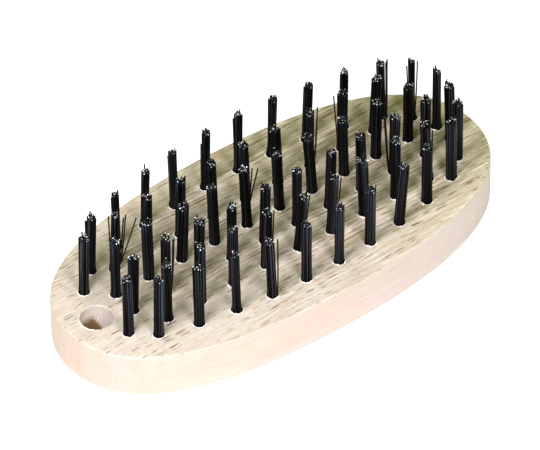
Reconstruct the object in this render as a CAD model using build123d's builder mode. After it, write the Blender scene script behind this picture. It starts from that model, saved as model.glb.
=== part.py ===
"""Oval hand brush with wire tufts, in millimetres.

A beech block with a hang hole carries cross rows of wire tufts. Each tuft is a bundle of wires folded
in half under a flat steel anchor, which is driven down a blind hole and bites into the wood on two
sides. The origin is the centre of the block's underside, +X runs along the block away from the hang
hole, and the tufts stand along +Z.
"""

import os
from math import radians, sqrt, tan

from build123d import *

# Block: an oval of four alike quarter curves, cut from planed board
BLOCK_LENGTH = 180.0
BLOCK_WIDTH = 85.4
BLOCK_THICKNESS = 18.2
SIDE_FULLNESS = 0.68  # length of a quarter curve's handle along the side, as a share of half the length
END_FULLNESS = 0.64  # length of its handle across the end, as a share of half the width
BLOCK_EDGE_RADIUS = 0.8

# Hang hole, drilled through near the -X end
HANG_HOLE_RADIUS = 6.0
HANG_HOLE_X = -77.5
HANG_HOLE_CHAMFER = 0.3

# Where the tufts stand: cross rows half a pitch apart, inside an oval ring
PITCH = 14.5
INNER_Y = 5.1  # the two inner lines of tufts, in every odd half pitch
MIDDLE_Y = 15.7  # the two middle lines, in every even half pitch
RING_HALF_LENGTH = 88.6  # the ellipse on which the outermost tufts stand
RING_HALF_WIDTH = 29.7
LAST_HALF_PITCH = 9  # the last cross row of four tufts, counted in half pitches from the middle
END_PAIR_X = 73.3  # the pair that closes the pattern at both ends
END_PAIR_Y = 13.2
NOSE_PAIR_X = 77.4  # the pair at the +X end only, where the other end has its hang hole
NOSE_PAIR_Y = 3.9

# One tuft, its hole and its anchor
TUFT_HEIGHT = 27.0  # above the block's face
TUFT_RADIUS = 1.95
TUFT_SHOULDER_HEIGHT = 3.0  # over which the wires draw in from the hole's wall to the tuft
FOLD_ROUNDING = 0.9  # rounding of the folded wires at the bottom of the hole
TUFT_HOLE_RADIUS = 2.15
TUFT_HOLE_DEPTH = 12.0  # to the drill point's shoulder
DRILL_POINT_ANGLE = 118.0
FOLDED_WIRE = 1.3  # thickness of wire that lies under the anchor
ANCHOR_LENGTH = 5.2
ANCHOR_HEIGHT = 2.0
ANCHOR_THICKNESS = 0.5
ANCHOR_CORNER = 0.35  # cut off the anchor's leading corners

HALF_LENGTH = BLOCK_LENGTH / 2
HALF_WIDTH = BLOCK_WIDTH / 2
HOLE_BOTTOM_Z = BLOCK_THICKNESS - TUFT_HOLE_DEPTH
ANCHOR_BOTTOM_Z = HOLE_BOTTOM_Z + FOLDED_WIRE
DRILL_POINT_DEPTH = TUFT_HOLE_RADIUS / tan(radians(DRILL_POINT_ANGLE / 2))


def ring_y(x):
    """Half the width of the outer ring of tufts at x."""
    return RING_HALF_WIDTH * sqrt(1 - (x / RING_HALF_LENGTH) ** 2)


def cross_rows():
    """Each cross row of tufts as (x, [y of each tuft]), from the hang hole to the other end."""
    rows = []
    for half_pitches in range(-LAST_HALF_PITCH, LAST_HALF_PITCH + 1):
        x = half_pitches * PITCH / 2
        if half_pitches % 2:
            rows.append((x, [-ring_y(x), -INNER_Y, INNER_Y, ring_y(x)]))
        else:
            rows.append((x, [-MIDDLE_Y, MIDDLE_Y]))
    for x in (-END_PAIR_X, END_PAIR_X):
        rows.append((x, [-END_PAIR_Y, END_PAIR_Y]))
    rows.append((NOSE_PAIR_X, [-NOSE_PAIR_Y, NOSE_PAIR_Y]))
    return sorted(rows)


def row_places(row):
    """The points of one cross row."""
    x, across = row
    return [(x, y) for y in across]


ROWS = cross_rows()
TUFT_PLACES = [place for row in ROWS for place in row_places(row)]

os.makedirs("parts", exist_ok=True)

# Block: oval outline, rounded edges, hang hole, and a blind hole with an anchor slit for each tuft
with BuildPart() as block:
    with BuildSketch() as outline:
        with BuildLine() as edge_curve:
            Bezier(
                (HALF_LENGTH, 0),
                (HALF_LENGTH, END_FULLNESS * HALF_WIDTH),
                (SIDE_FULLNESS * HALF_LENGTH, HALF_WIDTH),
                (0, HALF_WIDTH),
            )
            mirror(about=Plane.YZ)
            mirror(about=Plane.XZ)
        make_face()
    extrude(amount=BLOCK_THICKNESS)
    fillet(block.faces().filter_by(Axis.Z).edges(), radius=BLOCK_EDGE_RADIUS)

    with Locations((HANG_HOLE_X, 0, BLOCK_THICKNESS)):
        Hole(radius=HANG_HOLE_RADIUS, depth=BLOCK_THICKNESS)
    rims = block.edges().filter_by(GeomType.CIRCLE)
    chamfer(rims, length=HANG_HOLE_CHAMFER)

    with BuildSketch(Plane.XY.offset(BLOCK_THICKNESS)) as hole_mouths:
        with Locations(*TUFT_PLACES):
            Circle(TUFT_HOLE_RADIUS)
    extrude(amount=-TUFT_HOLE_DEPTH, mode=Mode.SUBTRACT)
    with BuildSketch(Plane.XY.offset(BLOCK_THICKNESS)) as anchor_slits:
        with Locations(*TUFT_PLACES):
            Rectangle(ANCHOR_THICKNESS, ANCHOR_LENGTH)
    extrude(amount=ANCHOR_BOTTOM_Z - BLOCK_THICKNESS, mode=Mode.SUBTRACT)
    with Locations(*[(x, y, HOLE_BOTTOM_Z - DRILL_POINT_DEPTH) for x, y in TUFT_PLACES]):
        Cone(
            bottom_radius=0,
            top_radius=TUFT_HOLE_RADIUS,
            height=DRILL_POINT_DEPTH,
            align=(Align.CENTER, Align.CENTER, Align.MIN),
            mode=Mode.SUBTRACT,
        )
block.part.label = "block"
export_step(block.part, "parts/block.step")

# One tuft: the closed outer form of its wires, with the slot that its anchor fills
with BuildPart() as tuft:
    with BuildSketch(Plane.XZ) as tuft_half_section:
        with BuildLine() as tuft_profile:
            fold = Polyline(
                (0, HOLE_BOTTOM_Z),
                (TUFT_HOLE_RADIUS - FOLD_ROUNDING, HOLE_BOTTOM_Z),
            )
            bend = RadiusArc(
                fold @ 1,
                (TUFT_HOLE_RADIUS, HOLE_BOTTOM_Z + FOLD_ROUNDING),
                -FOLD_ROUNDING,
            )
            Polyline(
                bend @ 1,
                (TUFT_HOLE_RADIUS, BLOCK_THICKNESS),
                (TUFT_RADIUS, BLOCK_THICKNESS + TUFT_SHOULDER_HEIGHT),
                (TUFT_RADIUS, BLOCK_THICKNESS + TUFT_HEIGHT),
                (0, BLOCK_THICKNESS + TUFT_HEIGHT),
                (0, HOLE_BOTTOM_Z),
            )
        make_face()
    revolve(axis=Axis.Z)
    with Locations((0, 0, ANCHOR_BOTTOM_Z)):
        Box(
            ANCHOR_THICKNESS,
            ANCHOR_LENGTH,
            ANCHOR_HEIGHT,
            align=(Align.CENTER, Align.CENTER, Align.MIN),
            mode=Mode.SUBTRACT,
        )

# One anchor: a short strip of flat wire on edge, with its leading corners cut off
with BuildPart() as anchor:
    with BuildSketch(Plane.YZ) as anchor_face:
        with Locations((0, ANCHOR_BOTTOM_Z + ANCHOR_HEIGHT / 2)):
            Rectangle(ANCHOR_LENGTH, ANCHOR_HEIGHT)
        leading_corners = anchor_face.vertices().group_by(Axis.Z)[0]
        chamfer(leading_corners, length=ANCHOR_CORNER)
    extrude(amount=ANCHOR_THICKNESS / 2, both=True)

# The tufts and the anchors of each cross row, numbered from the hang hole
for number, row in enumerate(ROWS, start=1):
    with BuildPart() as tuft_row:
        with Locations(*row_places(row)):
            add(tuft.part)
    tuft_row.part.label = f"tuft_row_{number:02d}"
    export_step(tuft_row.part, f"parts/tuft_row_{number:02d}.step")

    with BuildPart() as anchor_row:
        with Locations(*row_places(row)):
            add(anchor.part)
    anchor_row.part.label = f"anchor_row_{number:02d}"
    export_step(anchor_row.part, f"parts/anchor_row_{number:02d}.step")
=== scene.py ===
"""Looks of the oval wire brush: sanded beech, bundles of folded black wire, and steel anchors.

Each tuft is built from single wires. A wire starts at one cut end, runs down its hole, folds under the
anchor and comes up again at the other cut end, so a tuft has twice as many ends as wires.
"""

import math
import random

import bpy
import numpy as np
from mathutils import Matrix, Vector


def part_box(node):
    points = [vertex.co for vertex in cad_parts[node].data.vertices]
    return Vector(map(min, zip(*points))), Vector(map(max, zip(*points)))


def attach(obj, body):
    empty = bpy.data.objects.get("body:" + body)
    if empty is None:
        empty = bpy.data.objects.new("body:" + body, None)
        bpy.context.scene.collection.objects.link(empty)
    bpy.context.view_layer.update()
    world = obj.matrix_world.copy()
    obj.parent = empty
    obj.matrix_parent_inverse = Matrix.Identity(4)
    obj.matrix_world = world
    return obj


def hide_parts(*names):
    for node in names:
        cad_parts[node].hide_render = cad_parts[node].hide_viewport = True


MM = 0.001
SEED = 20

# Wires of one tuft
WIRES = 20
WIRE_RADIUS = 0.25 * MM
WIRE_SIDES = 8
BEND_STEPS = 8
GOLDEN_ANGLE = math.pi * (3 - math.sqrt(5))  # between one end and the next, counted outwards
SPOT_JITTER = (0.03, 0.015)  # spread of an end's angle and of its share of the tuft's radius
TUFT_RADIUS = 1.95 * MM  # above the shoulder, over the outsides of the wires
FULLNESS = (0.98, 1.10)  # range of a tuft's radius, as a share of TUFT_RADIUS
SLENDER_FULLNESS = (0.84, 0.95)  # the tufts along the far side are drawn together more
SLENDER_FROM_Y = 20 * MM
SHOULDER = ((0.8 * MM, 0.25), (2.0 * MM, 0.65))  # heights above the face, and how far drawn in there
LEG_SHARES = (0.14, 0.28, 0.42, 0.56, 0.7, 0.85, 1.0)  # heights of a leg's points, up to its cut end
CUT_SLOPE = 0.8  # the steepest cut across an end
CUT_EDGE = 0.9  # radius of the cut face, as a share of the wire's
CUT_BULGE = 0.03 * MM  # how far the cut face stands out from its edge
PAINTED_GLINT_CUTS = 0.42  # share of the cut ends painted bright white, as painted glints
PAINTED_GLINT_SHINE = (0.7, 1.0)  # range of the wire_tone of an end with a painted glint
NO_GLINT_SHINE = (0.0, 0.45)  # and of any other end's, which is painted dark as an end without a glint
LEAST_HALF_WIDTH = 0.2  # the disc of ends counts as at least this wide on each side of the anchor
FOLD_GAP = 1.1 * WIRE_RADIUS  # least distance from a fold's middle line to the anchor and the hole

# How uneven the tufts and their wires are. A length without a comment is a standard deviation
TUFT_LEAN = 0.35 * MM
TUFT_LEAN_CURVE = 1.15  # power of the height with which a tuft leans
TUFT_RISE = 0.45 * MM
TUFT_SETTLE = -0.5 * MM  # the middle of a tuft's ends, from the CAD's flat top
WIRE_LEAN = 0.11 * MM
WIRE_LEAN_CURVE = 1.5  # power of the height with which a wire leans
WIRE_BOW = 0.044 * MM
WIRE_RISE = 0.5 * MM
WIRE_RISE_LIMIT = 1.3 * MM  # the most that an end is raised or lowered by WIRE_RISE
TALL_SHARE = 0.09  # share of the ends that stand taller by TALL_RISE
TALL_RISE = (0.64 * MM, 1.6 * MM)  # a range

# The camera, as seen from the point that it looks at. Its azimuth is measured from -Y towards +X
CAMERA_AZIMUTH = math.radians(-36.92)
CAMERA_ELEVATION = math.radians(43.92)
CAMERA_ROLL = math.radians(-0.6)
CAMERA_DISTANCE = 2.96
CAMERA_TARGET = Vector((0.01035, 0.01505, 0))
CAMERA_LENS = 550.4
SENSOR_WIDTH = 36

# Sideways is to the right as the camera sees it
SIDEWAYS = Vector((math.cos(CAMERA_AZIMUTH), math.sin(CAMERA_AZIMUTH)))

# The studio: square lights as (place, side in metres, watts), which shine on the origin
KEY_LIGHT = ((-0.271, -0.092, 0.41), 0.15, 1.95)
FRONT_LIGHT = ((-0.13, -0.75, 0.64), 0.35, 6.1)
LIGHT_COLOUR = (1.0, 1.0, 1.17)
SURROUND_COLOUR = (0.26, 0.30, 0.11, 1)
FLOOR_HALF = 6.0
FLOOR_COLOUR = (0.92, 0.92, 0.92, 1)
FLOOR_LIGHT = 0.45
FLOOR_LIT_FROM = 0.97  # outside this share of an ellipse as long and wide as the block
VIEW_GAMMA = 0.88

# The block's face, and the hang hole's middle on it
FACE_HEIGHT = 18.2 * MM
HANG_HOLE_AXIS = (-77.5 * MM, 0, FACE_HEIGHT)
HANG_HOLE_REACH = 6.5 * MM  # all of the hole's wall and chamfer is this near to its axis

# Where the face's figure (its streaks and lines) is strong. Its olive streaks and dark lines are partly
# painted shade between the tufts. It grows along FIGURE_AND_SHADE_GROWS, fades out along the far edge
# towards the hang hole, and is calmer along the near edge
FIGURE_AND_SHADE_GROWS = (0.78, 0.62, 0)
FIGURE_AND_SHADE_REACH = (-60 * MM, -15 * MM)
FADES_FROM_Y = (27 * MM, 35 * MM)
FADES_FROM_X = (8 * MM, -22 * MM)
CALMER_FROM_Y = (-35 * MM, -27 * MM)

# Where the face is painted a little darker and warmer, as shade between the tufts, and the distances
# where that begins and is full
PAINTED_SHADE_PATCH = (-36 * MM, 8 * MM, FACE_HEIGHT)
PAINTED_SHADE_REACH = (34 * MM, 14 * MM)

# Torn wood fibres round the mouth of each hole
RIM_POINTS = 18
RIM_SHIFT = 0.3  # how far a point may move round the mouth, as a share of the way to the next
RIM_WIDTH = (0.12 * MM, 0.55 * MM)
RIM_STRETCH = (0.7, 0.6)  # share of that width across the grain, and what is added to it along the grain
RIM_HEIGHT = 0.03 * MM  # at the least
RIM_PEAK = 0.70 * MM  # the most that a torn spot adds to it
RIM_ROOT = 0.4 * MM  # how deep the fibres' mesh reaches into the wood
RIM_OVERHANG = 0.02 * MM  # how far its inner root stands inside the hole's edge
RIM_CREST = 0.04 * MM  # how far its highest line stands outside the hole's edge
RIM_FOOT = 0.02 * MM  # height of its outer edge
RIM_TAPER = 0.05 * MM  # how much narrower it is at its root
HANG_RIM_RADIUS = 6.25 * MM  # on the hang hole's chamfer
HANG_RIM_POINTS = 52
HANG_RIM_TORN = Vector((-0.95, -0.31, 0))  # the side where the hang hole's rim is torn the most
HANG_RIM_LEAST = 0.15  # share of the fibres' size that is left on its other side

# The four tables below are set one by one. Their keys are a tuft's cross row, counted from the hang hole,
# and its place in that row, counted from the front

# Tufts that lean as a whole: mm sideways at the top. Each other tuft leans at random
LEANING_TUFTS = {
    (1, 2): 0.5,
    (2, 2): 0.2,
    (2, 3): 0.0,
    (2, 4): 0.6,
    (3, 2): 0.9,
    (4, 3): -0.5,
    (5, 2): 0.2,
    (6, 1): -0.3,
    (6, 2): 0.2,
    (6, 3): 1.0,
    (6, 4): 0.6,
    (7, 1): -0.2,
    (7, 2): 0.5,
    (8, 1): -0.9,
    (8, 3): -0.9,
    (8, 4): -0.5,
    (9, 1): 0.6,
    (9, 2): -0.4,
    (10, 1): 0.1,
    (10, 2): 0.5,
    (10, 3): -1.0,
    (10, 4): 0.4,
    (11, 1): 1.9,
    (11, 2): -0.5,
    (12, 3): -0.7,
    (12, 4): 0.4,
    (13, 1): 1.2,
    (13, 2): -0.9,
    (14, 3): -1.4,
    (14, 4): 0.8,
    (15, 1): -0.9,
    (15, 2): 0.1,
    (16, 1): 1.7,
    (16, 2): -0.4,
    (16, 3): -0.6,
    (16, 4): 0.9,
    (17, 2): 0.2,
    (18, 4): 0.4,
    (19, 1): -1.4,
    (19, 2): 1.1,
    (20, 4): -0.6,
}

# Tufts that are trimmed longer, or shorter where it is negative: mm
UNEVEN_TUFTS = {
    (2, 2): -0.9,
    (2, 4): 0.5,
    (3, 1): 0.5,
    (4, 4): -0.5,
    (5, 2): -0.7,
    (6, 2): -0.4,
    (6, 4): 0.8,
    (8, 1): -1.3,
    (8, 2): -0.9,
    (9, 1): -0.4,
    (10, 2): -1.1,
    (10, 4): -0.3,
    (12, 2): -0.5,
    (12, 3): -0.7,
    (14, 4): 0.5,
    (15, 1): -1.3,
    (16, 1): 0.5,
    (16, 2): -1.3,
    (16, 3): 0.5,
    (16, 4): 1.0,
    (17, 1): 0.5,
    (18, 4): 0.5,
    (19, 1): 0.5,
    (19, 2): -0.9,
    (20, 2): -0.7,
    (20, 3): -0.5,
    (20, 4): 0.4,
    (22, 1): -0.7,
}

# Tufts of fewer wires: how many, and the tuft's radius as a share of TUFT_RADIUS
THIN_TUFTS = {
    (4, 4): (16, 0.82),
    (6, 1): (17, 0.88),
    (6, 4): (16, 0.82),
    (21, 2): (13, 0.76),
    (22, 2): (17, 0.88),
}

# Wires that stand apart: mm sideways from the tuft's middle at the tip, share of the height where the
# wire leaves the bundle, mm taller than the tuft, and a curl: 1 leans straight, and less than 1 turns
# away at once and then stands upright
STRAY_WIRES = {
    (2, 2): [(2.1, 0.1, 1.2, 0.5)],
    (2, 4): [(-2.0, 0.3, -1.3, 1), (-1.7, 0.3, -2.2, 1), (-0.4, 0.6, 2.0, 1)],
    (3, 2): [(7.4, 0, -1.0, 1), (3.4, 0, -0.8, 0.4), (2.5, 0, -0.4, 0.4), (-2.6, 0.3, -0.9, 1)],
    (4, 2): [(2.3, 0, 0.4, 0.5), (2.7, 0, 0.0, 0.4)],
    (6, 2): [(2.0, 0.2, 1.2, 1)],
    (7, 2): [(0.9, 0.4, 2.3, 1), (1.3, 0.4, 1.8, 1)],
    (8, 1): [(2.9, 0, 1.4, 0.8)],
    (8, 2): [(-0.9, 0.4, 2.2, 1)],
    (8, 4): [(-1.5, 0.3, -1.6, 1), (0.8, 0.4, 1.0, 1)],
    (9, 1): [(2.4, 0, 0.7, 0.6)],
    (9, 2): [(1.6, 0.3, 0.8, 1)],
    (10, 2): [(-1.1, 0.4, 2.9, 1)],
    (10, 3): [(3.3, 0.45, 1.0, 1), (5.1, 0.45, 1.6, 1)],
    (10, 4): [(-1.9, 0.1, -6.0, 0.6), (1.0, 0.4, 1.3, 1)],
    (11, 1): [(1.7, 0.1, 0.2, 0.4)],
    (12, 4): [(-1.8, 0.1, -1.3, 1)],
    (13, 1): [(2.4, 0, 0.3, 0.6)],
    (14, 4): [(-1.8, 0.2, -0.5, 1)],
    (15, 1): [(2.2, 0.1, 0.2, 1)],
    (15, 2): [(2.8, 0, 2.0, 0.7), (2.6, 0, 1.6, 0.7)],
    (17, 2): [(-3.0, 0.2, -2.0, 1)],
    (18, 2): [(-3.4, 0, -0.2, 0.8), (-3.1, 0, -0.6, 0.8), (1.9, 0.3, 0.4, 1)],
    (19, 1): [(2.9, 0.2, -3.0, 1)],
    (19, 2): [(-1.5, 0.3, 0.8, 1)],
    (20, 4): [(2.3, 0, 1.4, 0.5), (2.1, 0, 1.0, 0.5), (1.9, 0.1, 0.6, 0.5), (-0.9, 0.4, 2.3, 1)],
    (21, 2): [(2.1, 0.1, 0.2, 0.7), (-1.8, 0.3, -2.6, 1)],
    (22, 1): [(-0.6, 0.4, 1.6, 1)],
}


# ---------------------------------------------------------------- node materials


def add_node(tree, kind, inputs=None, **settings):
    """A new shader node. An input is linked if it is another node's output, or else it is a constant."""
    node = tree.nodes.new(kind)
    for name, value in settings.items():
        setattr(node, name, value)
    for name, value in (inputs or {}).items():
        if isinstance(value, bpy.types.NodeSocket):
            tree.links.new(value, node.inputs[name])
        else:
            node.inputs[name].default_value = value
    return node


def new_material(name):
    """A new material with its node tree, its Principled shader and the object's coordinates."""
    material = bpy.data.materials.new(name)
    material.use_nodes = True
    tree = material.node_tree
    place = add_node(tree, "ShaderNodeTexCoord").outputs["Object"]
    return material, tree, tree.nodes["Principled BSDF"], place


def stretched(tree, coordinates, size_mm):
    """The coordinates counted in cells of the given size."""
    scale = [1 / (side * MM) for side in size_mm]
    mapping = add_node(tree, "ShaderNodeMapping", {"Vector": coordinates, "Scale": scale})
    return mapping.outputs["Vector"]


def noise(tree, coordinates, size_mm, detail=2.0, roughness=0.5):
    """Noise from 0 to 1 with cells of the given size."""
    inputs = {
        "Vector": stretched(tree, coordinates, size_mm),
        "Scale": 1.0,
        "Detail": detail,
        "Roughness": roughness,
    }
    return add_node(tree, "ShaderNodeTexNoise", inputs).outputs["Fac"]


def ramp(tree, value, low, high, to_low=0.0, to_high=1.0):
    """value mapped from low..high to to_low..to_high, held at the ends."""
    inputs = {
        "Value": value,
        "From Min": low,
        "From Max": high,
        "To Min": to_low,
        "To Max": to_high,
    }
    return add_node(tree, "ShaderNodeMapRange", inputs).outputs["Result"]


def math_node(tree, operation, *values):
    """The result of an operation on one or two numbers."""
    inputs = dict(enumerate(values))
    return add_node(tree, "ShaderNodeMath", inputs, operation=operation).outputs["Value"]


def product(tree, first, *others):
    """All the numbers multiplied."""
    for other in others:
        first = math_node(tree, "MULTIPLY", first, other)
    return first


def vector_math(tree, operation, *vectors):
    """The result of an operation on one or two vectors, a vector or a number as the operation has it."""
    inputs = dict(enumerate(vectors))
    node = add_node(tree, "ShaderNodeVectorMath", inputs, operation=operation)
    gives_number = operation in ("LENGTH", "DISTANCE", "DOT_PRODUCT")
    return node.outputs["Value" if gives_number else "Vector"]


def split(tree, vector):
    """The outputs "X", "Y" and "Z" of a vector."""
    return add_node(tree, "ShaderNodeSeparateXYZ", {"Vector": vector}).outputs


def mixed(tree, factor, first, second, blend_type="MIX"):
    """Colour first, mixed towards colour second by factor."""
    inputs = {0: factor, 6: first, 7: second}  # the node's own numbers for a mix of colours
    node = add_node(tree, "ShaderNodeMix", inputs, data_type="RGBA", blend_type=blend_type)
    return node.outputs[2]


def add_bump(tree, shader, height, strength, distance):
    """Makes the shader's surface look raised where height is great."""
    inputs = {"Height": height, "Strength": strength, "Distance": distance}
    bump = add_node(tree, "ShaderNodeBump", inputs)
    tree.links.new(bump.outputs["Normal"], shader.inputs["Normal"])


def flecks(tree, coordinates, size_mm, share, reach):
    """Short lens-shaped flecks, one in some of the cells, from 0 to 1."""
    inputs = {"Vector": stretched(tree, coordinates, size_mm), "Scale": 1.0}
    cells = add_node(tree, "ShaderNodeTexVoronoi", inputs)
    channels = add_node(tree, "ShaderNodeSeparateColor", {"Color": cells.outputs["Color"]})
    present = math_node(tree, "LESS_THAN", channels.outputs["Red"], share)
    size = ramp(tree, channels.outputs["Green"], 0, 1, 0.45 * reach, reach)
    inside = math_node(tree, "SUBTRACT", size, cells.outputs["Distance"])
    lens = ramp(tree, inside, 0.0, 0.22 * reach)
    depth = ramp(tree, channels.outputs["Blue"], 0, 1, 0.45, 1.0)
    return product(tree, lens, present, depth)


def wandering(tree, place):
    """The coordinates, shifted so that the grain wanders a little from the block's length."""
    shift = ramp(tree, noise(tree, place, (45, 30, 30), 1.0), 0, 1, -1.6 * MM, 1.6 * MM)
    across = add_node(tree, "ShaderNodeCombineXYZ", {"Y": shift, "Z": shift}).outputs["Vector"]
    return vector_math(tree, "ADD", place, across)


def plain_beech(tree, grain, fibres):
    """The wood's broad tones, with streaks, bands, growth rings and fibres."""
    cream = (0.700, 0.620, 0.500, 1)
    rose = (0.710, 0.600, 0.515, 1)
    straw = (0.610, 0.525, 0.385, 1)
    ring_brown = (0.590, 0.470, 0.370, 1)
    broad = noise(tree, grain, (70, 12, 12), 2.0)
    streaks = noise(tree, grain, (28, 1.1, 1.1), 3.0, 0.6)
    bands = noise(tree, grain, (60, 3.0, 8), 2.0, 0.6)
    rings = noise(tree, grain, (90, 26, 0.8), 2.0, 0.6)
    colour = mixed(tree, ramp(tree, broad, 0.35, 0.65), cream, rose)
    for pattern, low, high, depth, tint in (
        (streaks, 0.45, 0.75, 0.6, straw),
        (bands, 0.45, 0.70, 0.5, straw),
        (rings, 0.50, 0.72, 0.5, ring_brown),
        (fibres, 0.45, 0.75, 0.45, straw),
    ):
        colour = mixed(tree, ramp(tree, pattern, low, high, 0, depth), colour, tint)
    return colour


def figured_and_shaded_beech(tree, colour, grain, on_face, figure_and_shade_grown, calmed):
    """The colour with the face's figure: light lines, and patches of olive streaks and dark lines, which
    are partly painted shade between the tufts.
    """
    light_line = (0.900, 0.820, 0.705, 1)
    olive = (0.475, 0.405, 0.255, 1)
    line_brown = (0.270, 0.190, 0.095, 1)
    fine_lines = noise(tree, grain, (14, 0.75, 1.4), 3.0, 0.6)
    broad_lines = noise(tree, grain, (24, 1.3, 2), 2.0, 0.55)
    patches = ramp(tree, noise(tree, grain, (22, 6.5, 20), 1.5), 0.40, 0.56, 0.15, 1.0)
    light_share = product(tree, ramp(tree, figure_and_shade_grown, 0, 1, 0.4, 1.0), on_face)
    # partly painted shade between the tufts: the olive streaks and dark lines grow towards the back right
    dark_grain_and_shade_share = product(tree, patches, on_face, ramp(tree, figure_and_shade_grown, 0, 1, 0.15, 1.0), calmed)
    for lines, low, high, depth, share, tint in (
        (fine_lines, 0.46, 0.34, 1.0, light_share, light_line),
        (broad_lines, 0.50, 0.62, 0.7, dark_grain_and_shade_share, olive),
        (fine_lines, 0.55, 0.65, 0.95, dark_grain_and_shade_share, line_brown),
    ):
        strength = product(tree, ramp(tree, lines, low, high, 0, depth), share)
        colour = mixed(tree, strength, colour, tint)
    return colour


def beech_tone(tree, place, on_face, along_figure_and_shade, painted_light_edge):
    """What the colour is multiplied by: the sides and the faces differ, and change along the block.
    The far edge near the hang hole is painted paler, as light, and a patch between the tufts is painted
    darker and warmer, as shade.
    """
    side_left, side_right = (0.93, 0.85, 0.89, 1), (0.88, 0.87, 0.96, 1)
    face_near, face_far = (0.98, 0.98, 1.0, 1), (1.04, 1.03, 0.95, 1)
    pale, painted_shade = (1.18, 1.17, 1.17, 1), (0.90, 0.90, 0.84, 1)
    along = ramp(tree, split(tree, place)["X"], -60 * MM, 50 * MM)
    side = mixed(tree, along, side_left, side_right)
    face = mixed(tree, ramp(tree, along_figure_and_shade, -30 * MM, 25 * MM), face_near, face_far)
    # painted light: pale lightens the far edge near the hang hole
    face = mixed(tree, painted_light_edge, face, pale)
    # painted shade: a patch between the tufts is made darker and warmer
    in_painted_shade = ramp(tree, vector_math(tree, "DISTANCE", place, PAINTED_SHADE_PATCH), *PAINTED_SHADE_REACH)
    face = mixed(tree, in_painted_shade, face, painted_shade)
    return mixed(tree, on_face, side, face)


def hole_wall_painted_light_and_shade(tree, place, on_face, colour):
    """The colour, but fresh and pale in the hang hole, with painted light on the wall's right as the
    camera sees it, painted shade on its left, and a painted brown shadow deep down, which reaches highest
    on the left.
    """
    from_mouth = vector_math(tree, "SUBTRACT", place, HANG_HOLE_AXIS)
    across = vector_math(tree, "MULTIPLY", from_mouth, (1, 1, 0))
    near = math_node(tree, "LESS_THAN", vector_math(tree, "LENGTH", across), HANG_HOLE_REACH)
    on_wall = product(tree, near, math_node(tree, "SUBTRACT", 1.0, on_face))

    sideways = vector_math(tree, "DOT_PRODUCT", across, (*SIDEWAYS, 0))
    torn = noise(tree, place, (0.7, 0.7, 0.6), 2.0, 0.6)
    ragged = ramp(tree, torn, 0.3, 0.7, -1.0 * MM, 1.0 * MM)
    # painted shadow: below a depth that is least on the wall's left as the camera sees it, the wall is
    # painted brown, with a ragged edge
    painted_shadow_from = ramp(tree, sideways, -1.5 * MM, 2.5 * MM, -5.5 * MM, -12.0 * MM)
    below = math_node(tree, "SUBTRACT", painted_shadow_from, split(tree, from_mouth)["Z"])
    painted_deep_shadow = ramp(tree, math_node(tree, "ADD", below, ragged), -1.0 * MM, 1.8 * MM)

    rose, cream = (0.86, 0.70, 0.62, 1), (0.98, 0.93, 0.86, 1)
    painted_shade_wall, shadow_brown = (0.62, 0.55, 0.44, 1), (0.30, 0.185, 0.080, 1)
    fresh = mixed(tree, ramp(tree, torn, 0.4, 0.62), rose, cream)
    # painted light and shade: the wall's right as the camera sees it is fresh and pale, its left mostly
    # dull
    painted_lit_share = ramp(tree, sideways, -4.5 * MM, 0.5 * MM, 0.35, 1.0)
    wall = mixed(tree, painted_lit_share, painted_shade_wall, fresh)
    wall = mixed(tree, painted_deep_shadow, wall, shadow_brown)
    return mixed(tree, on_wall, colour, wall)


def beech():
    """Sanded beech: dark ray flecks on the faces, growth rings and silky patches on the sides, with
    painted light and shade on the face and in the hang hole.
    """
    material, tree, shader, place = new_material("sanded_beech")
    normal = add_node(tree, "ShaderNodeNewGeometry").outputs["Normal"]
    on_face = ramp(tree, math_node(tree, "ABSOLUTE", split(tree, normal)["Z"]), 0.5, 0.9)
    axes = split(tree, place)
    along_figure_and_shade = vector_math(tree, "DOT_PRODUCT", place, FIGURE_AND_SHADE_GROWS)
    # painted light: the far edge near the hang hole is painted paler, and the figure is weaker there
    painted_light_edge = product(tree, ramp(tree, axes["Y"], *FADES_FROM_Y), ramp(tree, axes["X"], *FADES_FROM_X))
    figure_and_shade_grown = ramp(tree, along_figure_and_shade, *FIGURE_AND_SHADE_REACH)
    figure_and_shade_grown = product(tree, figure_and_shade_grown, ramp(tree, painted_light_edge, 0, 1, 1.0, 0.3))
    calmed = ramp(tree, axes["Y"], *CALMER_FROM_Y, 0.35, 1.0)

    grain = wandering(tree, place)
    fibres = noise(tree, grain, (7, 0.22, 0.22), 3.0, 0.6)
    long_flecks = flecks(tree, grain, (6.6, 0.62, 0.7), 0.40, 0.46)
    short_flecks = flecks(tree, grain, (3.0, 0.36, 0.4), 0.32, 0.42)
    colour = plain_beech(tree, grain, fibres)
    colour = figured_and_shaded_beech(tree, colour, grain, on_face, figure_and_shade_grown, calmed)
    fleck_brown = (0.235, 0.145, 0.070, 1)
    for spots, side_depth, face_depth in ((long_flecks, 0.10, 1.0), (short_flecks, 0.06, 0.6)):
        strength = product(tree, spots, ramp(tree, on_face, 0, 1, side_depth, face_depth))
        colour = mixed(tree, strength, colour, fleck_brown)
    tone = beech_tone(tree, place, on_face, along_figure_and_shade, painted_light_edge)
    colour = mixed(tree, 1, colour, tone, "MULTIPLY")
    colour = hole_wall_painted_light_and_shade(tree, place, on_face, colour)
    tree.links.new(colour, shader.inputs["Base Color"])
    tree.links.new(ramp(tree, fibres, 0.2, 0.8, 0.50, 0.68), shader.inputs["Roughness"])
    shader.inputs["Specular IOR Level"].default_value = 0.35

    height = math_node(tree, "SUBTRACT", fibres, long_flecks)
    height = math_node(tree, "SUBTRACT", height, short_flecks)
    add_bump(tree, shader, height, 0.4, 0.06 * MM)
    return material


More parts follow.
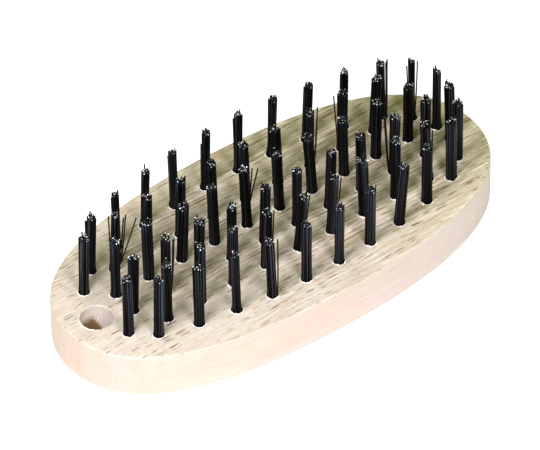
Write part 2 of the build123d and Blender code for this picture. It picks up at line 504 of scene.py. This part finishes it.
def torn_beech():
    """Fresh pale fibres, as a drill leaves them."""
    material, tree, shader, place = new_material("torn_beech")
    strands = noise(tree, place, (0.8, 0.12, 0.12), 3.0, 0.6)
    tan = (0.80, 0.70, 0.58, 1)
    cream = (0.98, 0.95, 0.90, 1)
    colour = mixed(tree, strands, tan, cream)
    tree.links.new(colour, shader.inputs["Base Color"])
    tree.links.new(ramp(tree, strands, 0.2, 0.8, 0.6, 0.8), shader.inputs["Roughness"])
    shader.inputs["Specular IOR Level"].default_value = 0.3
    return material


def black_wire():
    """Oil-tempered steel wire: nearly black, with drawn streaks along it and a cool sheen."""
    material, tree, shader, place = new_material("black_tempered_wire")
    tone = add_node(tree, "ShaderNodeAttribute", attribute_name="wire_tone").outputs["Fac"]
    drawn = noise(tree, place, (0.12, 0.12, 6), 3.0, 0.6)
    scale = noise(tree, place, (0.7, 0.7, 1.6), 3.0, 0.6)
    soot = (0.008, 0.008, 0.008, 1)
    blue = (0.078, 0.086, 0.108, 1)
    brown = (0.022, 0.017, 0.013, 1)
    shine = math_node(tree, "POWER", tone, 2.2)
    colour = mixed(tree, shine, soot, blue)
    colour = mixed(tree, ramp(tree, scale, 0.55, 0.8, 0, 0.6), colour, brown)
    tree.links.new(colour, shader.inputs["Base Color"])
    shader.inputs["Metallic"].default_value = 0.85
    shader.inputs["Specular IOR Level"].default_value = 0.3
    streaky = math_node(tree, "ADD", drawn, product(tree, tone, -0.3))
    tree.links.new(ramp(tree, streaky, 0.1, 0.8, 0.26, 0.48), shader.inputs["Roughness"])
    add_bump(tree, shader, drawn, 0.2, 0.02 * MM)
    return material


def cut_ends_painted_glints():
    """The sheared ends of the wires, with painted glints: by their wire_tone, some ends are painted
    bright white and the others dark.
    """
    material, tree, shader, place = new_material("cut_wire_end_painted_glints")
    tone = add_node(tree, "ShaderNodeAttribute", attribute_name="wire_tone").outputs["Fac"]
    shear = noise(tree, place, (0.05, 0.4, 0.4), 2.0)
    dark = (0.03, 0.03, 0.03, 1)
    bright = (0.95, 0.95, 0.96, 1)
    # painted glints: ends with a high wire_tone are painted bright white, the others dark
    tree.links.new(mixed(tree, ramp(tree, tone, 0.3, 0.9), dark, bright), shader.inputs["Base Color"])
    shader.inputs["Metallic"].default_value = 0.3
    tree.links.new(ramp(tree, shear, 0.2, 0.8, 0.32, 0.55), shader.inputs["Roughness"])
    return material


def anchor_steel():
    """Plain flat wire with roll marks along it."""
    material, tree, shader, place = new_material("flat_anchor_wire")
    rolled = noise(tree, place, (0.3, 4, 0.08), 3.0, 0.6)
    stains = noise(tree, place, (1.5, 1.5, 1.5), 3.0)
    steel = (0.50, 0.50, 0.50, 1)
    stained = (0.26, 0.24, 0.22, 1)
    colour = mixed(tree, ramp(tree, stains, 0.5, 0.75), steel, stained)
    tree.links.new(colour, shader.inputs["Base Color"])
    shader.inputs["Metallic"].default_value = 1.0
    tree.links.new(ramp(tree, rolled, 0.2, 0.8, 0.28, 0.5), shader.inputs["Roughness"])
    return material


# ---------------------------------------------------------------- wires


def packed_spots(count, rng):
    """Places of count wires side by side in a disc of radius 1."""
    turn = rng.uniform(0, math.tau)
    spots = []
    for number in range(count):
        angle = turn + number * GOLDEN_ANGLE + rng.gauss(0, SPOT_JITTER[0])
        reach = math.sqrt((number + 0.5) / count) + rng.gauss(0, SPOT_JITTER[1])
        reach = min(reach, 1.0)
        spots.append(Vector((reach * math.cos(angle), reach * math.sin(angle))))
    return spots


def beside_anchor(spot, side, tuft):
    """Where a wire passes the anchor: on its own side of it, inside the hole."""
    inner = tuft["anchor_thickness"] / 2 + WIRE_RADIUS
    reach = tuft["hole_radius"] - WIRE_RADIUS
    y = spot.y * math.sqrt(reach**2 - inner**2)
    outer = math.sqrt(reach**2 - y**2)
    half_width = max(LEAST_HALF_WIDTH, math.sqrt(max(0.0, 1 - spot.y**2)))
    share = min(1.0, abs(spot.x) / half_width)
    return Vector((side * (inner + share * (outer - inner)), y)), share


def leg_points(end, tuft):
    """One leg of a wire, from beside the anchor up to its cut end."""
    face, top = tuft["face"], tuft["top"] + end["rise"]
    reach = tuft["hole_radius"] - WIRE_RADIUS
    spread = tuft["radius"] - WIRE_RADIUS
    middle = (tuft["anchor_top"] + face) / 2
    points = [
        (*end["at_anchor"], tuft["anchor_bottom"]),
        (*end["at_anchor"], tuft["anchor_top"]),
        (*(end["spot"] * reach), middle),
        (*(end["spot"] * reach), face),
    ]
    for height, drawn_in in SHOULDER:
        points.append((*(end["spot"] * (reach + drawn_in * (spread - reach))), face + height))
    for share in LEG_SHARES:
        lean = tuft["lean"] * share**TUFT_LEAN_CURVE + end["lean"] * share**WIRE_LEAN_CURVE
        lean = lean + end["bow"] * math.sin(math.pi * share)
        apart = max(0.0, (share - end["leaves_at"]) / (1 - end["leaves_at"]))
        lean = lean + end["apart"] * apart ** end["curl"]
        points.append((*(end["spot"] * spread + lean), face + share * (top - face)))
    return [Vector(point) for point in points]


def fold_points(left, right, tuft):
    """The fold under the anchor, between two legs."""
    room = tuft["anchor_bottom"] - tuft["hole_bottom"]
    outermost = max(left["anchor_share"], right["anchor_share"])
    depth = FOLD_GAP + outermost * (room - 2 * FOLD_GAP)
    points = []
    for step in range(1, BEND_STEPS):
        angle = math.pi * step / BEND_STEPS
        share = (1 - math.cos(angle)) / 2
        place = left["at_anchor"].lerp(right["at_anchor"], share)
        points.append(Vector((*place, tuft["anchor_bottom"] - depth * math.sin(angle))))
    return points


def tube_rings(points, left, right):
    """The rings of a wire's tube, with a cut face at both ends."""
    points = np.array(points)
    runs = np.diff(points, axis=0)
    runs /= np.linalg.norm(runs, axis=1)[:, None]
    tangents = np.vstack([runs[:1], runs[:-1] + runs[1:], runs[-1:]])
    tangents /= np.linalg.norm(tangents, axis=1)[:, None]
    angles = np.arange(WIRE_SIDES) * math.tau / WIRE_SIDES
    side = np.cross(tangents[0], (0.31, 0.95, 0.05))  # any direction will do to start with
    rings = []
    for place, tangent in zip(points, tangents):
        side = side - tangent * side.dot(tangent)
        side /= np.linalg.norm(side)
        other = np.cross(tangent, side)
        circle = np.cos(angles)[:, None] * side + np.sin(angles)[:, None] * other
        rings.append(place + WIRE_RADIUS * circle)
    for ring, place, tangent, end in (
        (rings[0], points[0], tangents[0], left),
        (rings[-1], points[-1], tangents[-1], right),
    ):
        slope = CUT_SLOPE * end["cut"] * np.cos(angles - end["cut_turn"])
        ring += tangent * (WIRE_RADIUS * slope)[:, None]
    first = points[0] + (rings[0] - points[0]) * CUT_EDGE - tangents[0] * CUT_BULGE
    last = points[-1] + (rings[-1] - points[-1]) * CUT_EDGE + tangents[-1] * CUT_BULGE
    return [first, *rings, last]


def tuft_mesh(name, tuft, rng):
    """All the wires of one tuft as one mesh."""
    wires = tuft["wires"]
    spots = sorted(packed_spots(2 * wires, rng), key=lambda spot: spot.x)
    ends = [new_end(spot, rng) for spot in spots]
    set_apart(ends, tuft)
    sides = (ends[:wires], ends[wires:])
    for side, group in zip((-1, 1), sides):
        group.sort(key=lambda end: end["spot"].y)
        for end in group:
            end["at_anchor"], end["anchor_share"] = beside_anchor(end["spot"], side, tuft)

    vertices, faces, cut_faces, tones = [], [], [], []
    for left, right in zip(*sides):
        path = leg_points(left, tuft)[::-1]
        path += fold_points(left, right, tuft)
        path += leg_points(right, tuft)
        rings = tube_rings([point + tuft["centre"] for point in path], left, right)
        start = len(vertices)
        last = start + (len(rings) - 1) * WIRE_SIDES
        for ring in rings:
            vertices.extend(ring)
        for low in range(start, last, WIRE_SIDES):
            for side in range(WIRE_SIDES):
                corners = (low + side, low + (side + 1) % WIRE_SIDES)
                faces.append((*corners, corners[1] + WIRE_SIDES, corners[0] + WIRE_SIDES))
        cut_faces.append(tuple(range(start + WIRE_SIDES - 1, start - 1, -1)))
        cut_faces.append(tuple(range(last, last + WIRE_SIDES)))
        wire_tone = rng.random()
        ring_tones = [left["shine"], *[wire_tone] * (len(rings) - 2), right["shine"]]
        tones.extend(np.repeat(ring_tones, WIRE_SIDES))

    mesh = bpy.data.meshes.new(name)
    mesh.from_pydata([tuple(v) for v in vertices], [], faces + cut_faces)
    smooth = [True] * len(faces) + [False] * len(cut_faces)
    mesh.polygons.foreach_set("use_smooth", smooth)
    mesh.polygons.foreach_set("material_index", [0] * len(faces) + [1] * len(cut_faces))
    mesh.attributes.new("wire_tone", "FLOAT", "POINT").data.foreach_set("value", tones)
    mesh.update()
    return mesh


def new_end(spot, rng):
    """One cut end of a wire, with its own small irregularities."""
    rise = max(-WIRE_RISE_LIMIT, min(WIRE_RISE_LIMIT, rng.gauss(0, WIRE_RISE)))
    if rng.random() < TALL_SHARE:
        rise += rng.uniform(*TALL_RISE)
    # painted glint: this end is painted bright or dark at random
    bright = rng.random() < PAINTED_GLINT_CUTS
    return {
        "spot": spot,
        "rise": rise,
        "lean": Vector((rng.gauss(0, WIRE_LEAN), rng.gauss(0, WIRE_LEAN))),
        "bow": Vector((rng.gauss(0, WIRE_BOW), rng.gauss(0, WIRE_BOW))),
        "apart": Vector((0, 0)),
        "leaves_at": 0.0,
        "curl": 1.0,
        "cut": rng.random(),
        "cut_turn": rng.uniform(0, math.tau),
        "shine": rng.uniform(*(PAINTED_GLINT_SHINE if bright else NO_GLINT_SHINE)),
    }


def set_apart(ends, tuft):
    """Turns the outermost ends on the stray's side into stray wires."""
    spread = tuft["radius"] - WIRE_RADIUS
    taken = []
    for sideways, leaves_at, rise, curl in tuft["strays"]:
        direction = SIDEWAYS if sideways >= 0 else -SIDEWAYS
        free = [end for end in ends if end not in taken]
        end = max(free, key=lambda end: end["spot"].dot(direction))
        taken.append(end)
        from_middle = end["spot"].dot(SIDEWAYS) * spread
        end["apart"] = SIDEWAYS * (sideways * MM - from_middle)
        end["leaves_at"] = leaves_at
        end["rise"] = rise * MM
        end["curl"] = curl


def new_object(name, data):
    """A new object in the scene."""
    added = bpy.data.objects.new(name, data)
    bpy.context.scene.collection.objects.link(added)
    return added


def row_names(frame, kind):
    """The names of the CAD nodes of one kind of cross row, from the hang hole on."""
    return sorted(name for name in frame["nodes"] if name.startswith(kind))


def tuft_places(node):
    """The middle of each tuft in a cross row's CAD node, from the front to the back."""
    corners = np.array([v.co for v in node.data.vertices])
    across = np.sort(corners[:, 1])
    gaps = np.flatnonzero(np.diff(across) > TUFT_RADIUS)  # inside a tuft they are narrower
    lows = [across[0], *across[gaps + 1]]
    highs = [*across[gaps], across[-1]]
    x = (corners[:, 0].min() + corners[:, 0].max()) / 2
    return [Vector((x, (low + high) / 2, 0)) for low, high in zip(lows, highs)]


def make_tufts(frame, wire, cut):
    """Every tuft as its own piece, in place of the plain solids of its cross row."""
    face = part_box("block")[1].z
    for name in row_names(frame, "tuft_row_"):
        number = name.removeprefix("tuft_row_")
        low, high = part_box(name)
        anchor_low, anchor_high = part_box("anchor_row_" + number)
        for place, centre in enumerate(tuft_places(frame["nodes"][name]), start=1):
            key = (int(number), place)
            rng = random.Random(f"{SEED} {key}")
            lean = Vector((rng.gauss(0, TUFT_LEAN), rng.gauss(0, TUFT_LEAN)))
            if key in LEANING_TUFTS:
                lean = SIDEWAYS * LEANING_TUFTS[key] * MM
            rise = rng.gauss(0, TUFT_RISE) + TUFT_SETTLE + UNEVEN_TUFTS.get(key, 0) * MM
            fullness = rng.uniform(*(SLENDER_FULLNESS if centre.y > SLENDER_FROM_Y else FULLNESS))
            wires, fullness = THIN_TUFTS.get(key, (WIRES, fullness))
            tuft = {
                "centre": centre,
                "face": face,
                "top": high.z + rise,
                "hole_bottom": low.z,
                "hole_radius": (high.x - low.x) / 2,
                "anchor_bottom": anchor_low.z,
                "anchor_top": anchor_high.z,
                "anchor_thickness": anchor_high.x - anchor_low.x,
                "lean": lean,
                "radius": TUFT_RADIUS * fullness,
                "wires": wires,
                "strays": STRAY_WIRES.get(key, []),
            }
            piece_name = f"tuft_{number}_{place}"
            piece = new_object(piece_name, tuft_mesh(piece_name, tuft, rng))
            piece.data.materials.append(wire)
            piece.data.materials.append(cut)
            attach(piece, "root")
            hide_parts(name)


def torn_rim(centre, hole_radius, points, torn_towards, rng):
    """Vertices and faces of the ring of torn fibres round a hole's mouth.

    centre is in the mouth. The ring is torn evenly, or mostly on the side torn_towards if that is given.
    """
    rings = [[], [], [], []]
    for number in range(points):
        angle = math.tau * (number + rng.uniform(-RIM_SHIFT, RIM_SHIFT)) / points
        along = Vector((math.cos(angle), math.sin(angle), 0))
        height = RIM_HEIGHT + RIM_PEAK * rng.random() ** 3
        width = rng.uniform(*RIM_WIDTH) * (RIM_STRETCH[0] + RIM_STRETCH[1] * abs(along.x))
        if torn_towards is not None:
            turned = max(0.0, along.dot(torn_towards))
            torn = HANG_RIM_LEAST + (1 - HANG_RIM_LEAST) * turned**2
            height, width = torn * height, torn * width
        for ring, reach, z in (
            (rings[0], -RIM_OVERHANG, -RIM_ROOT),
            (rings[1], RIM_CREST, height),
            (rings[2], width, RIM_FOOT),
            (rings[3], width - RIM_TAPER, -RIM_ROOT),
        ):
            ring.append(centre + along * (hole_radius + reach) + Vector((0, 0, z)))
    vertices = [point for ring in rings for point in ring]
    faces = []
    for ring in range(4):
        low, high = ring * points, (ring + 1) % 4 * points
        for number in range(points):
            after = (number + 1) % points
            faces.append((low + number, high + number, high + after, low + after))
    return vertices, faces


def make_torn_rims(frame, material):
    """The torn fibres round the hang hole, and those of each cross row of tuft holes."""
    face = Vector((0, 0, FACE_HEIGHT))
    hang_rim = (Vector(HANG_HOLE_AXIS), HANG_RIM_RADIUS, HANG_RIM_POINTS, HANG_RIM_TORN)
    rims = {"hang_hole": [hang_rim]}
    for name in row_names(frame, "tuft_row_"):
        low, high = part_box(name)
        centres = tuft_places(frame["nodes"][name])
        rims[name.removeprefix("tuft_")] = [
            (centre + face, (high.x - low.x) / 2, RIM_POINTS, None) for centre in centres
        ]
    for name, holes in rims.items():
        rng = random.Random(f"{SEED} rim {name}")
        vertices, faces = [], []
        for hole in holes:
            start = len(vertices)
            new_vertices, new_faces = torn_rim(*hole, rng)
            vertices += new_vertices
            faces += [tuple(start + corner for corner in corners) for corners in new_faces]
        mesh = bpy.data.meshes.new("torn_fibres_" + name)
        mesh.from_pydata([tuple(v) for v in vertices], [], faces)
        mesh.materials.append(material)
        piece = new_object(mesh.name, mesh)
        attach(piece, "root")


def paint(node, material):
    """Gives a CAD node a finished material in place of its plain one."""
    node.data.materials.clear()
    node.data.materials.append(material)


# ---------------------------------------------------------------- stage


def make_camera():
    """The camera, which looks down on the block from its front left."""
    azimuth, elevation = CAMERA_AZIMUTH, CAMERA_ELEVATION
    back = Vector(
        (
            math.sin(azimuth) * math.cos(elevation),
            -math.cos(azimuth) * math.cos(elevation),
            math.sin(elevation),
        )
    )
    level = Vector((math.cos(azimuth), math.sin(azimuth), 0))
    upright = back.cross(level)
    right = level * math.cos(CAMERA_ROLL) + upright * math.sin(CAMERA_ROLL)
    up = upright * math.cos(CAMERA_ROLL) - level * math.sin(CAMERA_ROLL)
    turn = Matrix((right, up, back)).transposed().to_4x4()
    camera = new_object("camera", bpy.data.cameras.new("camera"))
    camera.matrix_world = Matrix.Translation(CAMERA_TARGET + back * CAMERA_DISTANCE) @ turn
    camera.data.sensor_width = SENSOR_WIDTH
    camera.data.lens = CAMERA_LENS
    bpy.context.scene.camera = camera


def make_light(name, place, side, watts):
    """A square soft light at place, turned to the origin."""
    light = bpy.data.lights.new(name, "AREA")
    light.shape = "SQUARE"
    light.size = side
    light.energy = watts
    light.color = LIGHT_COLOUR
    lamp = new_object(name, light)
    lamp.location = place
    lamp.rotation_euler = (-Vector(place)).to_track_quat("-Z", "Y").to_euler()


def lit_around_block(tree, place):
    """The floor's own light: even all round, and none underneath the block."""
    low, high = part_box("block")
    scale = [2 / (high.x - low.x), 2 / (high.y - low.y), 0]
    mapping = add_node(tree, "ShaderNodeMapping", {"Vector": place, "Scale": scale})
    from_middle = vector_math(tree, "LENGTH", mapping.outputs["Vector"])
    outside = math_node(tree, "GREATER_THAN", from_middle, FLOOR_LIT_FROM)
    return product(tree, outside, FLOOR_LIGHT)


def make_floor():
    """The pale floor."""
    mesh = bpy.data.meshes.new("floor")
    corners = [(x * FLOOR_HALF, y * FLOOR_HALF, 0) for x, y in ((-1, -1), (1, -1), (1, 1), (-1, 1))]
    mesh.from_pydata(corners, [], [(0, 1, 2, 3)])
    floor = new_object("floor", mesh)
    material, tree, shader, place = new_material("pale_floor")
    shader.inputs["Base Color"].default_value = FLOOR_COLOUR
    shader.inputs["Roughness"].default_value = 0.9
    shader.inputs["Specular IOR Level"].default_value = 0.1
    shader.inputs["Emission Color"].default_value = (1, 1, 1, 1)
    tree.links.new(lit_around_block(tree, place), shader.inputs["Emission Strength"])
    floor.data.materials.append(material)


def make_stage():
    """The floor, soft studio light from the front left, and an even surround."""
    make_floor()
    make_light("key", *KEY_LIGHT)
    make_light("front", *FRONT_LIGHT)

    world = bpy.data.worlds.new("studio")
    world.use_nodes = True
    background = world.node_tree.nodes["Background"]
    background.inputs["Color"].default_value = SURROUND_COLOUR
    background.inputs["Strength"].default_value = 1.0
    bpy.context.scene.world = world
    bpy.context.scene.view_settings.view_transform = "Standard"
    bpy.context.scene.view_settings.gamma = VIEW_GAMMA


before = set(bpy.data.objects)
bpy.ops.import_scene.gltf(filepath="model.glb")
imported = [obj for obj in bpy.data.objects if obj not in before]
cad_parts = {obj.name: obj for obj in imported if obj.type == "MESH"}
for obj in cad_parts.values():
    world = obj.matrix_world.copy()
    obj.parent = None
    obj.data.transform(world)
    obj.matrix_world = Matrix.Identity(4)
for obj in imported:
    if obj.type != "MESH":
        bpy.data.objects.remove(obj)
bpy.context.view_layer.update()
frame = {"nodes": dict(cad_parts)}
make_camera()
paint(frame["nodes"]["block"], beech())
steel = anchor_steel()
for name in row_names(frame, "anchor_row_"):
    paint(frame["nodes"][name], steel)
make_tufts(frame, black_wire(), cut_ends_painted_glints())
make_torn_rims(frame, torn_beech())
make_stage()
